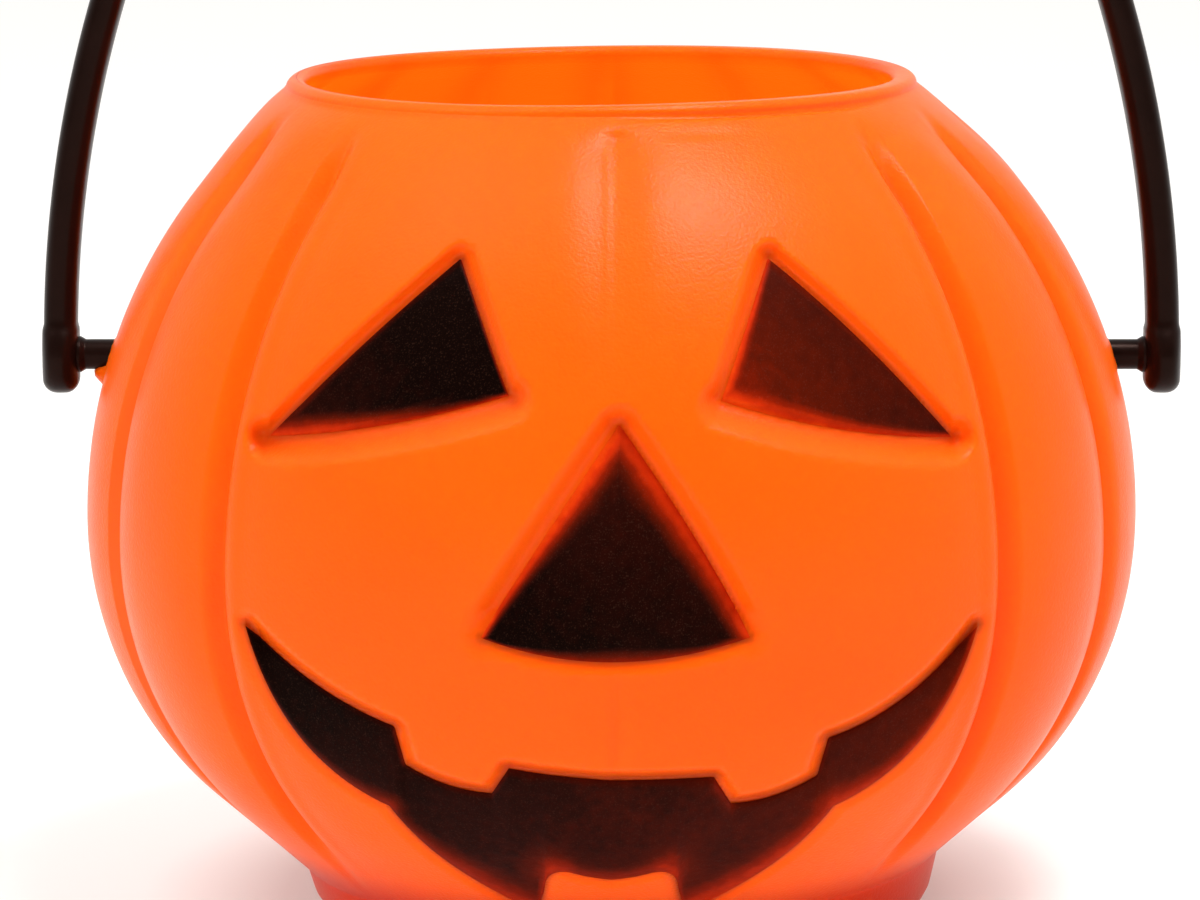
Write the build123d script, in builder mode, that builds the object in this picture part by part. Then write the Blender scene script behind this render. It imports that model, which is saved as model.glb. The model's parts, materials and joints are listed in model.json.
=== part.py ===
from build123d import *
from math import asin, atan2, cos, degrees, hypot, radians, sin, sqrt, tan
import os

# Pumpkin candy pail: a blow-moulded globe with a recessed, painted face, and a bail handle whose
# pins snap into two holes in its sides. Millimetres. +Z is up, the origin is the middle of the base,
# the face looks along -Y, and the handle turns about a line parallel to X.

# Globe of the pail
BELLY_RADIUS = 107.5
BELLY_HEIGHT = 82.0
RIM_RADIUS = 63.6
RIM_HEIGHT = 171.5
COLLAR_HEIGHT = 2.0
RIM_ROUND = 1.3
WALL = 1.3
UNDERSIDE_ARC_SHARE = 0.67

# Foot that the pail stands on
FOOT_RADIUS = 68.6
FOOT_HEIGHT = 12.5
FOOT_DRAFT_ANGLE = 12.0
FOOT_ROUND = 5.0
PUSH_UP_RADIUS = 47.0
PUSH_UP_HEIGHT = 3.0

# Grooves between the lobes, and the shallow groove above the nose
FACE_HALF_ANGLE = 46.0
GROOVE_COUNT = 13
GROOVE_RADIUS = 5.0
GROOVE_DEPTH = 1.4
GROOVE_TOP_SHARE = 0.72
GROOVE_FOOT_SHARE = 0.84
GROOVE_RUN_OUT_SHARE = 1.3
BROW_GROOVE_DEPTH = 0.7
BROW_GROOVE_LENGTH = 14.0

# Recesses of the face, measured on the front view
RECESS_DEPTH = 3.5
CORNER_ROUND = 1.0
TOOTH_INNER_ROUND = 0.7
EYE_RISE = 27.4
EYE_HEIGHT = 34.8
EYE_INNER = 20.5
EYE_OUTER = 66.0
NOSE_DROP = 9.6
NOSE_HEIGHT = 43.0
NOSE_HALF_WIDTH = 25.3
MOUTH_FOOT_GAP = 2.2
MOUTH_HEIGHT = 58.9
MOUTH_HALF_WIDTH = 70.4

# Paint on the floors of the recesses
PAINT_THICKNESS = 0.25
PAINT_MARGIN = 0.35
PAINT_SEAT_GAP = 0.15

# Bail handle
PIN_RISE = 31.6
PIN_RADIUS = 3.1
PIN_CLEARANCE = 0.08
HANDLE_BELLY_GAP = 2.4
STRAP_THICKNESS = 6.8
STRAP_WIDTH = 11.0
STRAP_ROUND_SHARE = 0.46
LEG_ARC_RADIUS = 250.0
LEG_SWEEP_ANGLE = 20.6
BOSS_RADIUS = 8.0
BOSS_THICKNESS = 7.4
BOSS_ROUND_SHARE = 0.42
SNAP_HEAD_RADIUS = 4.3
SNAP_TIP_RADIUS = 2.6
SNAP_HEAD_LENGTH = 5.5
SNAP_HEAD_GAP = 0.3

# Corners of the face as hand-chosen shares of each feature's own width and height
EYE_TOP_SHARE = 0.19
EYE_INNER_SHARE = 0.34
EYE_BOW_SHARE = 0.025
NOSE_CHEEK_SHARE = 0.09
MOUTH_LIP_SHARES = (0.80, 0.81)
MOUTH_TOOTH_SHARES = ((0.591, 0.683), (0.575, 0.545), (0.445, 0.484), (0.325, 0.455), (0.272, 0.570))
MOUTH_NOTCH_SHARE = 0.543
MOUTH_CHEEK_SHARES = (0.872, 0.655)
MOUTH_JAW_SHARES = (0.615, 0.405)
MOUTH_CHIN_SHARES = (0.455, 0.178)
MOUTH_LOW_TOOTH_SHARES = ((0.178, 0.030), (0.150, 0.158))
MOUTH_LOW_CREST_SHARE = 0.150

# Overrun of every cut past the face it leaves
OVERRUN = 2.0

os.makedirs("parts", exist_ok=True)

# The globe is one arc from the belly up to the rim, and one arc from the belly down to a straight
# cone that ends at the foot. Both arcs are upright at the belly.
shoulder_drop = BELLY_RADIUS - RIM_RADIUS
shoulder_rise = RIM_HEIGHT - COLLAR_HEIGHT - BELLY_HEIGHT
globe_arc = (shoulder_drop**2 + shoulder_rise**2) / (2 * shoulder_drop)

under_drop = BELLY_RADIUS - FOOT_RADIUS
under_rise = BELLY_HEIGHT - FOOT_HEIGHT
under_slant = hypot(under_drop, under_rise)
cone_angle = atan2(under_drop, under_rise) + asin(UNDERSIDE_ARC_SHARE * under_drop / under_slant)
under_arc = (under_rise - under_drop / tan(cone_angle)) / tan(cone_angle / 2)

pin_height = BELLY_HEIGHT + PIN_RISE
face_reach = BELLY_RADIUS + OVERRUN
face_top = BELLY_HEIGHT + EYE_RISE + EYE_HEIGHT + WALL + OVERRUN


def globe_radius(height, inset):
    """Radius of the upper globe at a height, on the surface that lies inset inside the outer one."""
    return BELLY_RADIUS - globe_arc + sqrt((globe_arc - inset) ** 2 - (height - BELLY_HEIGHT) ** 2)


def globe_side(inset, top, bottom):
    """Draw the globe's side from a height on its shoulder down to a height on its cone.

    Returns the two end points; the side lies inset inside the outer surface.
    """
    turn = degrees(asin((top - BELLY_HEIGHT) / (globe_arc - inset)))
    shoulder = CenterArc((BELLY_RADIUS - globe_arc, BELLY_HEIGHT), globe_arc - inset, turn, -turn)
    under = CenterArc((BELLY_RADIUS - under_arc, BELLY_HEIGHT), under_arc - inset, 0, -degrees(cone_angle))
    cone_end = ((under @ 1).X - ((under @ 1).Y - bottom) * tan(cone_angle), bottom)
    Line(under @ 1, cone_end)
    return shoulder @ 0, cone_end


def shrunk_globe(inset):
    """Solid globe from the base up past the eyes, drawn in evenly by inset."""
    with BuildPart() as globe:
        with BuildSketch(Plane.XZ):
            with BuildLine():
                top, bottom = globe_side(inset, face_top, 0)
                Polyline(bottom, (0, 0), (0, top.Y), (top.X, top.Y))
            make_face()
        revolve(axis=Axis.Z)
    return globe.part


def sunk_bar(radius, depth, stretches):
    """Round bar laid down the globe in the XZ plane and sunk by depth.

    Each stretch gives the globe's arc that the bar follows there, its start angle and its turn.
    A straight tangent run at each end lifts the bar out of the round surface.
    """
    top_run = GROOVE_RUN_OUT_SHARE * sqrt(2 * stretches[0][0] * depth)
    foot_run = GROOVE_RUN_OUT_SHARE * sqrt(2 * stretches[-1][0] * depth)
    with BuildPart() as bar:
        with BuildLine(Plane.XZ) as run:
            laid = [
                CenterArc((BELLY_RADIUS - arc, BELLY_HEIGHT), arc + radius - depth, start, turn)
                for arc, start, turn in stretches
            ]
            Line(laid[0] @ 0 - laid[0] % 0 * top_run, laid[0] @ 0)
            Line(laid[-1] @ 1, laid[-1] @ 1 + laid[-1] % 1 * foot_run)
        path = run.wire()
        with BuildSketch(Plane(origin=path @ 0, z_dir=path % 0)):
            Circle(radius)
        sweep()
    return bar.part


def eye_outline(side):
    """Leaning triangle of an eye; side is 1 for the eye on +X and -1 for the other."""
    base = BELLY_HEIGHT + EYE_RISE
    span = EYE_OUTER - EYE_INNER
    top = (side * (EYE_INNER + EYE_TOP_SHARE * span), base + EYE_HEIGHT)
    inner = (side * EYE_INNER, base + EYE_INNER_SHARE * EYE_HEIGHT)
    outer = (side * EYE_OUTER, base)
    with BuildSketch() as outline:
        with BuildLine():
            Line(inner, top)
            SagittaArc(top, outer, side * EYE_BOW_SHARE * span)
            SagittaArc(outer, inner, side * EYE_BOW_SHARE * span)
        make_face()
        fillet(outline.vertices(), CORNER_ROUND)
    return outline.sketch


def nose_outline():
    """Upright triangle of the nose with a sagging lower side."""
    base = BELLY_HEIGHT - NOSE_DROP
    cheek = base + NOSE_CHEEK_SHARE * NOSE_HEIGHT
    with BuildSketch() as outline:
        with BuildLine():
            Polyline((-NOSE_HALF_WIDTH, cheek), (0, base + NOSE_HEIGHT), (NOSE_HALF_WIDTH, cheek))
            ThreePointArc((NOSE_HALF_WIDTH, cheek), (0, base), (-NOSE_HALF_WIDTH, cheek))
        make_face()
        fillet(outline.vertices(), CORNER_ROUND)
    return outline.sketch


def mouth_outline():
    """Grinning crescent with two teeth in its upper side and one in its lower side."""
    base = FOOT_HEIGHT + MOUTH_FOOT_GAP

    def place(shares):
        return (shares[0] * MOUTH_HALF_WIDTH, base + shares[1] * MOUTH_HEIGHT)

    tip = place((1, 1))
    tooth = [place(shares) for shares in MOUTH_TOOTH_SHARES]
    notch = place((0, MOUTH_NOTCH_SHARE))
    jaw = place(MOUTH_JAW_SHARES)
    low_tooth = [place(shares) for shares in MOUTH_LOW_TOOTH_SHARES]
    with BuildSketch() as outline:
        with BuildLine():
            ThreePointArc(tip, place(MOUTH_LIP_SHARES), tooth[0])
            Line(tooth[0], tooth[1])
            ThreePointArc(tooth[1], tooth[2], tooth[3])
            Line(tooth[3], tooth[4])
            Line(tooth[4], notch)
            ThreePointArc(tip, place(MOUTH_CHEEK_SHARES), jaw)
            ThreePointArc(jaw, place(MOUTH_CHIN_SHARES), low_tooth[0])
            Line(low_tooth[0], low_tooth[1])
            Line(low_tooth[1], place((0, MOUTH_LOW_CREST_SHARE)))
            mirror(about=Plane.YZ)
        make_face()
        rounds = (
            (CORNER_ROUND, (tip, tooth[0], tooth[4], low_tooth[0])),
            (TOOTH_INNER_ROUND + WALL, (tooth[1], tooth[3], jaw, low_tooth[1])),
        )
        for radius, corners in rounds:
            for x, z in corners:
                for corner in ((x, z), (-x, z)):
                    fillet(outline.vertices().sort_by_distance(corner)[0], radius)
    return outline.sketch


def face_prism(outline, grow):
    """Outline of a face feature, grown all round, drawn out forwards past the globe."""
    with BuildPart() as prism:
        with BuildSketch(Plane.XZ):
            add(outline)
            offset(amount=grow)
        extrude(amount=face_reach, dir=(0, -1, 0))
    return prism.part


face_outlines = {
    "left_eye_paint": eye_outline(-1),
    "right_eye_paint": eye_outline(1),
    "nose_paint": nose_outline(),
    "mouth_paint": mouth_outline(),
}

# Grooves: a bar of one size cuts the outside, and a bar larger by the wall leaves the ridge inside.
groove_top_angle = GROOVE_TOP_SHARE * degrees(asin(shoulder_rise / globe_arc))
groove_stretches = (
    (globe_arc, groove_top_angle, -groove_top_angle),
    (under_arc, 0, -GROOVE_FOOT_SHARE * degrees(cone_angle)),
)
brow_stretch = (globe_arc, groove_top_angle, -degrees(BROW_GROOVE_LENGTH / globe_arc))
groove_cut = sunk_bar(GROOVE_RADIUS, GROOVE_DEPTH, groove_stretches)
groove_ridge = sunk_bar(GROOVE_RADIUS + WALL, GROOVE_DEPTH + WALL, groove_stretches)
brow_cut = sunk_bar(GROOVE_RADIUS, BROW_GROOVE_DEPTH, [brow_stretch])

# Recesses: what stands forward of the recess floor within each outline.
recess_core = shrunk_globe(RECESS_DEPTH)
with BuildPart() as face_recesses:
    for outline in face_outlines.values():
        with BuildSketch(Plane.XZ):
            add(outline)
        extrude(amount=face_reach, dir=(0, -1, 0))
    add(recess_core, mode=Mode.SUBTRACT)

# Bumps that the recesses make inside the pail, one wall thicker all round.
bump_core = shrunk_globe(RECESS_DEPTH + WALL)
with BuildPart() as face_bumps:
    for outline in face_outlines.values():
        add(face_prism(outline, WALL))
    add(bump_core, mode=Mode.SUBTRACT)

# Space inside the pail, open at the rim, with ridges and bumps that follow the outside.
inner_floor = PUSH_UP_HEIGHT + WALL
foot_draft = tan(radians(FOOT_DRAFT_ANGLE))
foot_inner_radius = FOOT_RADIUS - WALL
inner_corner_height = FOOT_HEIGHT + WALL * tan(cone_angle / 2)
mouth_radius = globe_radius(RIM_HEIGHT - RIM_ROUND, WALL)
with BuildPart() as cavity:
    with BuildSketch(Plane.XZ) as cavity_section:
        with BuildLine():
            top, bottom = globe_side(WALL, RIM_HEIGHT - RIM_ROUND, inner_corner_height)
            foot_in = (foot_inner_radius - foot_draft * (inner_corner_height - WALL), WALL)
            Polyline(
                bottom,
                foot_in,
                (PUSH_UP_RADIUS + PUSH_UP_HEIGHT, WALL),
                (PUSH_UP_RADIUS, inner_floor),
                (0, inner_floor),
                (0, RIM_HEIGHT + OVERRUN),
                (mouth_radius + RIM_ROUND, RIM_HEIGHT + OVERRUN),
                (mouth_radius + RIM_ROUND, RIM_HEIGHT),
            )
            RadiusArc((mouth_radius + RIM_ROUND, RIM_HEIGHT), (top.X, top.Y), RIM_ROUND)
        make_face()
    revolve(axis=Axis.Z)
    add(face_bumps.part, mode=Mode.SUBTRACT)
    with PolarLocations(
        0, GROOVE_COUNT, FACE_HALF_ANGLE - 90, 360 - 2 * FACE_HALF_ANGLE, endpoint=True
    ):
        add(groove_ridge, mode=Mode.SUBTRACT)

# Pail shell: the whole outside, less grooves, recesses, inside space and the two pin holes.
with BuildPart() as pail_shell:
    with BuildSketch(Plane.XZ) as pail_section:
        with BuildLine():
            top, bottom = globe_side(0, RIM_HEIGHT - COLLAR_HEIGHT, FOOT_HEIGHT)
            Polyline(
                bottom,
                (FOOT_RADIUS - foot_draft * FOOT_HEIGHT, 0),
                (PUSH_UP_RADIUS + PUSH_UP_HEIGHT, 0),
                (PUSH_UP_RADIUS, PUSH_UP_HEIGHT),
                (0, PUSH_UP_HEIGHT),
                (0, RIM_HEIGHT),
                (top.X, RIM_HEIGHT),
                (top.X, top.Y),
            )
        make_face()
        fillet(pail_section.vertices().group_by(Axis.Y)[0].sort_by(Axis.X)[-1], FOOT_ROUND)
        fillet(pail_section.vertices().group_by(Axis.Y)[-1].sort_by(Axis.X)[-1], RIM_ROUND)
    revolve(axis=Axis.Z)
    add(face_recesses.part, mode=Mode.SUBTRACT)
    with PolarLocations(
        0, GROOVE_COUNT, FACE_HALF_ANGLE - 90, 360 - 2 * FACE_HALF_ANGLE, endpoint=True
    ):
        add(groove_cut, mode=Mode.SUBTRACT)
    with PolarLocations(0, 1, -90):
        add(brow_cut, mode=Mode.SUBTRACT)
    add(cavity.part, mode=Mode.SUBTRACT)
    with Locations((0, 0, pin_height)):
        Cylinder(
            PIN_RADIUS + PIN_CLEARANCE,
            2 * (BELLY_RADIUS + OVERRUN),
            rotation=(0, 90, 0),
            mode=Mode.SUBTRACT,
        )
pail_shell.part.label = "pail_shell"
export_step(pail_shell.part, "parts/pail_shell.step")

# Paint coats: thin films that lie on the recess floors, a little inside the walls.
paint_back = RECESS_DEPTH - PAINT_SEAT_GAP
paint_core = shrunk_globe(paint_back)
paint_top = shrunk_globe(paint_back - PAINT_THICKNESS)
for name, outline in face_outlines.items():
    with BuildPart() as paint:
        add(face_prism(outline, -PAINT_MARGIN))
        add(paint_top, mode=Mode.INTERSECT)
        add(paint_core, mode=Mode.SUBTRACT)
    paint.part.label = name
    export_step(paint.part, f"parts/{name}.step")

# Boss: a round button with soft edges, drawn along X.
with BuildPart() as boss:
    Cylinder(BOSS_RADIUS, BOSS_THICKNESS, rotation=(0, 90, 0))
    fillet(boss.edges().filter_by(GeomType.CIRCLE), BOSS_ROUND_SHARE * BOSS_THICKNESS)

# Handle: two legs bowed inwards and a round arch between them, with a boss, a pin and a snap head
# at the foot of each leg, all one moulding.
handle_half_width = BELLY_RADIUS + HANDLE_BELLY_GAP + STRAP_THICKNESS / 2
sweep_angle = radians(LEG_SWEEP_ANGLE)
leg_top = handle_half_width - LEG_ARC_RADIUS * (1 - cos(sweep_angle))
arch_radius = leg_top / cos(sweep_angle)
arch_height = pin_height + (LEG_ARC_RADIUS - arch_radius) * sin(sweep_angle)
wall_reach = globe_radius(pin_height + SNAP_HEAD_RADIUS, WALL + GROOVE_DEPTH)
head_face = sqrt(wall_reach**2 - SNAP_HEAD_RADIUS**2) - SNAP_HEAD_GAP
with BuildPart() as handle:
    with BuildLine(Plane.XZ) as handle_path:
        leg_offset = handle_half_width - LEG_ARC_RADIUS
        CenterArc((leg_offset, pin_height), LEG_ARC_RADIUS, 0, LEG_SWEEP_ANGLE)
        CenterArc((0, arch_height), arch_radius, LEG_SWEEP_ANGLE, 180 - 2 * LEG_SWEEP_ANGLE)
        CenterArc((-leg_offset, pin_height), LEG_ARC_RADIUS, 180 - LEG_SWEEP_ANGLE, LEG_SWEEP_ANGLE)
    with BuildSketch(Plane(origin=(handle_half_width, 0, pin_height), x_dir=(1, 0, 0), z_dir=(0, 0, 1))):
        RectangleRounded(STRAP_THICKNESS, STRAP_WIDTH, STRAP_ROUND_SHARE * STRAP_THICKNESS)
    sweep()
    with Locations((handle_half_width, 0, pin_height), (-handle_half_width, 0, pin_height)):
        add(boss.part)
    for side in (1, -1):
        pin_length = handle_half_width - head_face
        with Locations((side * (head_face + pin_length / 2), 0, pin_height)):
            Cylinder(PIN_RADIUS, pin_length, rotation=(0, 90, 0))
        with Locations((side * (head_face - SNAP_HEAD_LENGTH / 2), 0, pin_height)):
            Cone(SNAP_HEAD_RADIUS, SNAP_TIP_RADIUS, SNAP_HEAD_LENGTH, rotation=(0, -side * 90, 0))
handle.part.label = "handle"
export_step(handle.part, "parts/handle.step")
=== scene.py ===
import json
import math

import bpy
import numpy as np
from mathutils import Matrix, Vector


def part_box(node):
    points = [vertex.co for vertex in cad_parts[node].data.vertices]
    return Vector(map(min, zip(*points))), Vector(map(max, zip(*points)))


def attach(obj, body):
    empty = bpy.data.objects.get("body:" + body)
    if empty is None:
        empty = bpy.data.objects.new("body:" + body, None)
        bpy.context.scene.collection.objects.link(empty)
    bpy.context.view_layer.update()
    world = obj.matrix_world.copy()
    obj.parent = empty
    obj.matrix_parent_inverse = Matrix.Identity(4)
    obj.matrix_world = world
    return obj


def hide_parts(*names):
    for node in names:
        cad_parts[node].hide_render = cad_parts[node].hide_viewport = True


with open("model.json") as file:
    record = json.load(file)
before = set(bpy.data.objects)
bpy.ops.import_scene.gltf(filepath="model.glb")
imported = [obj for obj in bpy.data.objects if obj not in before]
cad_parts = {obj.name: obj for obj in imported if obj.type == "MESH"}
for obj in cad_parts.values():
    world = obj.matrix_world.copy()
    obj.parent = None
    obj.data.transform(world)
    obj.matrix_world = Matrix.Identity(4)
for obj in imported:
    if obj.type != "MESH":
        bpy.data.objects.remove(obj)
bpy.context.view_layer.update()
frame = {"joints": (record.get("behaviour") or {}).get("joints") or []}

# Pail shell: a pumpkin blow-moulded in one piece from orange polyethylene, about 1.3 mm thick and a little
# translucent. Grooves part its lobes, the face is pressed into its front, and the rim is trimmed by knife.
# Sizes are in millimetres, angles in radians. Azimuth is 0 at the middle of the face and grows towards +X.
MM = 0.001
TINY = 1e-9
POINT_GAP = 0.3
CORNER_POINTS = 9
BELLY_RADIUS = 107.5
BELLY_HEIGHT = 82.0
SHOULDER_ARC = 109.15
UNDER_ARC = 77.7
CONE_ANGLE = math.radians(48.3)
WALL = 1.3
FOOT_RADIUS = 68.6
FOOT_HEIGHT = 12.5
FOOT_BASE_RADIUS = 65.9
FOOT_EDGE_ROUND = 5.0
FOOT_TOP_ROUND = 1.6
PUSH_UP_RADIUS = 47.0
PUSH_UP_HEIGHT = 3.0
PUSH_UP_ROUND = 2.5
COLLAR_HEIGHT = 2.0
COLLAR_ROUND = 0.5
RIM_WIDTH = 3.9
RIM_OUTER_ROUND = 1.7
RIM_INNER_ROUND = 1.6
RIM_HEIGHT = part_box("pail_shell")[1].z / MM
COLLAR_BASE = RIM_HEIGHT - COLLAR_HEIGHT
RIM_RADIUS = BELLY_RADIUS - SHOULDER_ARC + math.sqrt(SHOULDER_ARC**2 - (COLLAR_BASE - BELLY_HEIGHT) ** 2)


def arc_points(centre_radius, radius, start, end):
    """Evenly spaced points on a circle about (centre_radius, belly height), from start to end angle."""
    turn = np.linspace(start, end, int((end - start) * radius / POINT_GAP))
    return np.stack([centre_radius + radius * np.cos(turn), BELLY_HEIGHT + radius * np.sin(turn)], 1)


def rounded_line(points, radii):
    """Polyline with each inner corner replaced by a circular arc that touches both its sides.

    An arc of radius r starts r / tan(half the corner's angle) before the corner, and its points are its two
    end radii mixed by sines, as on a great circle.
    """
    points = np.asarray(points, float)
    share = np.linspace(0, 1, CORNER_POINTS)[:, None]
    line = [points[:1]]
    for before, corner, after, radius in zip(points, points[1:], points[2:], radii):
        back = (before - corner) / np.linalg.norm(before - corner)
        ahead = (after - corner) / np.linalg.norm(after - corner)
        half = np.arccos(np.clip(back @ ahead, -1, 1)) / 2
        middle = (back + ahead) / np.linalg.norm(back + ahead)
        centre = corner + middle * radius / np.sin(half)
        start = corner + back * radius / np.tan(half) - centre
        end = corner + ahead * radius / np.tan(half) - centre
        turn = np.pi - 2 * half
        mixed = np.sin((1 - share) * turn) * start + np.sin(share * turn) * end
        line.append(centre + mixed / np.sin(turn))
    return np.concatenate(line + [points[-1:]])


def pail_profile(inset):
    """Radius and height from the middle of the base out to the foot, up the globe and on to the collar.

    The globe is an arc from the belly up to the collar and one from the belly down to a straight cone, and
    the foot below the cone is a line with rounded corners. All are drawn in by the inset.
    """
    top = math.asin((COLLAR_BASE + inset - BELLY_HEIGHT) / (SHOULDER_ARC - inset))
    under = arc_points(BELLY_RADIUS - UNDER_ARC, UNDER_ARC - inset, -CONE_ANGLE, 0)
    over = arc_points(BELLY_RADIUS - SHOULDER_ARC, SHOULDER_ARC - inset, 0, top)
    foot = [
        (0, PUSH_UP_HEIGHT + inset),
        (PUSH_UP_RADIUS, PUSH_UP_HEIGHT + inset),
        (PUSH_UP_RADIUS + PUSH_UP_HEIGHT, inset),
        (FOOT_BASE_RADIUS - inset, inset),
        (FOOT_RADIUS - inset, FOOT_HEIGHT + inset / 2),
        under[0],
    ]
    rounds = (PUSH_UP_ROUND, PUSH_UP_ROUND, FOOT_EDGE_ROUND - inset, FOOT_TOP_ROUND)
    return np.concatenate([rounded_line(foot, rounds)[:-1], under, over[1:]])


# The rounded rim takes the place of the last points of the outer profile and the first of the inner one.
OUTER_TRIM = 8
INNER_TRIM = 12
outer_profile = pail_profile(0)
inner_profile = pail_profile(WALL)[::-1]
rim_corners = [
    outer_profile[-OUTER_TRIM],
    outer_profile[-1],
    (RIM_RADIUS, RIM_HEIGHT),
    (RIM_RADIUS - RIM_WIDTH, RIM_HEIGHT),
    inner_profile[INNER_TRIM],
]
rim_line = rounded_line(rim_corners, (COLLAR_ROUND, RIM_OUTER_ROUND, RIM_INNER_ROUND))
profile = np.concatenate([outer_profile[:-OUTER_TRIM], rim_line, inner_profile[INNER_TRIM + 1:]])
lengths = np.concatenate([[0], np.cumsum(np.linalg.norm(np.diff(profile, axis=0), axis=1))])
tangent = np.gradient(profile, lengths, axis=0)
tangent /= np.linalg.norm(tangent, axis=1)[:, None]
rim_length = lengths[len(outer_profile) - OUTER_TRIM + 2 * CORNER_POINTS]


def profile_at(along):
    """Radius and height of the profile at a length along it."""
    return np.interp(along, lengths, profile[:, 0]), np.interp(along, lengths, profile[:, 1])


def smooth_step(low, high, value):
    """Cubic step: 0 below low, 1 above high, 3t^2 - 2t^3 of the share t between them."""
    share = np.clip((value - low) / (high - low), 0, 1)
    return share * share * (3 - 2 * share)


def plateau(rise, fall, value):
    """1 between a rise and a fall, each a low and a high that a cubic step runs over, and 0 beyond them."""
    return smooth_step(*rise, value) * (1 - smooth_step(*fall, value))


def bell(value, size=1, middle=0, width=1, power=2):
    """Bell curve: size times e to minus an even power of the distance from the middle, in widths."""
    return size * np.exp(-(((value - middle) / width) ** power))


RUN_POINTS = 25


def edge_line(runs):
    """Samples of an edge made of runs: two points give a straight run, three a parabola through them."""
    share = np.linspace(0, 1, RUN_POINTS)[:, None]
    line = []
    for run in runs:
        start, *middle, end = np.array(run, float)
        lift = middle[0] - (start + end) / 2 if middle else 0
        line.append(start + (end - start) * share + lift * 4 * share * (1 - share))
    return np.concatenate(line)


LEAST_FLOOR_HEIGHT = 6.0
OVERSPRAY_AND_SHADE_OVERLAP = 0.2


class FaceFeature:
    """One recess of the face: the part of the front view between an upper and a lower edge.

    Edges are given in shares of the box of the feature's paint coat. The floor's depth below the globe
    changes evenly from the lower edge to the upper one, and a wall leads from the floor out to the globe.
    Values by side are for the left, right, upper and lower side.
    """

    def __init__(self, node, edge_shares, depths, walls, overspray_and_shade_levels, overspray_and_shade_widths, mirrored=False):
        low, high = (np.array(corner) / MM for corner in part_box(node))
        self.node = node
        self.depths = depths
        self.walls = walls
        self.overspray_and_shade_levels = overspray_and_shade_levels
        self.overspray_and_shade_widths = overspray_and_shade_widths
        edges = []
        for runs in edge_shares:
            shares = edge_line(runs)
            shares = shares * [-1, 1] + [1, 0] if mirrored else shares
            shares = shares[np.argsort(shares[:, 0], kind="stable")]
            edges.append(low[[0, 2]] + shares * (high - low)[[0, 2]])
        start, end = edges[0][0, 0], edges[0][-1, 0]
        self.x = np.linspace(start, end, int((end - start) / POINT_GAP))
        self.upper, self.lower = (np.interp(self.x, edge[:, 0], edge[:, 1]) for edge in edges)
        self.upper = np.maximum(self.upper, self.lower)

    def pieces(self, x, z):
        """For each straight piece of the edge, how far points are from it and its shares of the four sides.

        The edge runs clockwise, so a piece's outward way is its run turned left, and the squares of that
        way's two parts are the shares.
        """
        upper = np.stack([self.x, self.upper], 1)[::2]
        lower = np.stack([self.x, self.lower], 1)[::-2]
        loop = np.concatenate([upper, lower])
        for (ax, az), (bx, bz) in zip(loop, np.roll(loop, -1, axis=0)):
            run_x, run_z = bx - ax, bz - az
            square = run_x**2 + run_z**2
            if square > TINY:
                share = np.clip(((x - ax) * run_x + (z - az) * run_z) / square, 0, 1)
                sides = np.array([min(-run_z, 0), max(-run_z, 0), max(run_x, 0), min(run_x, 0)]) ** 2
                yield np.hypot(x - ax - share * run_x, z - az - share * run_z), sides / square

    def reach(self, x, z, widths):
        """Least distance from the edge in the front view, in widths by side, and negative on the paint."""
        nearest = np.full(x.shape, np.inf)
        for distance, sides in self.pieces(x, z):
            nearest = np.minimum(nearest, distance / (sides @ widths))
        inside = (z < np.interp(x, self.x, self.upper)) & (z > np.interp(x, self.x, self.lower))
        inside &= (x > self.x[0]) & (x < self.x[-1])
        return np.where(inside, -1, 1) * nearest

    def overspray_and_shade_share(self, x, z):
        """Share of overspray beside the film, which also stands for painted shade on the recess walls: a
        level at its edge that fades over a width, each by side.
        """
        most = np.zeros(x.shape)
        for distance, sides in self.pieces(x, z):
            fade = 1 - smooth_step(-OVERSPRAY_AND_SHADE_OVERLAP, sides @ self.overspray_and_shade_widths, distance)
            most = np.maximum(most, (sides @ self.overspray_and_shade_levels) * fade)
        return most

    def cover(self, x, z, least, widths):
        """Share of a full coat on the film: least at its edge, by side, and 1 from a width inside it."""
        lowest = np.ones(x.shape)
        for distance, sides in self.pieces(x, z):
            edge = sides @ least
            inward = smooth_step(0, np.tensordot(sides, widths, 1), distance)
            lowest = np.minimum(lowest, edge + (1 - edge) * inward)
        return lowest

    def depth(self, x, z):
        """Depth of the floor below the globe, by the share of the way from the lower edge up."""
        low, high = (np.interp(x, self.x, edge) for edge in (self.lower, self.upper))
        share = np.clip((z - low) / np.maximum(high - low, LEAST_FLOOR_HEIGHT), 0, 1)
        return self.depths[0] + (self.depths[1] - self.depths[0]) * share


# Upper and lower edges, as runs of points in shares of the coat's box. The left eye's are mirrored.
right_eye_shares = (
    [[(-0.015, 0.290), (0.195, 1.04)], [(0.195, 1.04), (0.62, 0.555), (1.02, -0.015)]],
    [[(-0.015, 0.290), (0.50, 0.100), (1.02, -0.015)]],
)
left_eye_shares = (
    [[(-0.045, 0.318), (0.17, 1.04)], [(0.17, 1.04), (0.615, 0.535), (1.03, -0.012)]],
    [[(-0.045, 0.318), (0.50, 0.122), (1.03, -0.012)]],
)
nose_shares = (
    [[(0.0, 0.09), (0.262, 0.575), (0.53, 1.04)], [(0.53, 1.04), (0.80, 0.575), (1.03, 0.09)]],
    [[(0.0, 0.09), (0.5, -0.01), (1.03, 0.09)]],
)
upper_grin_shares = [
    [(1.005, 1.045), (0.905, 0.84), (0.797, 0.715)],
    [(0.797, 0.715), (0.783, 0.565)],
    [(0.783, 0.565), (0.725, 0.497), (0.664, 0.475)],
    [(0.664, 0.475), (0.640, 0.585)],
    [(0.640, 0.585), (0.58, 0.57), (0.5, 0.557)],
]
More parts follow.
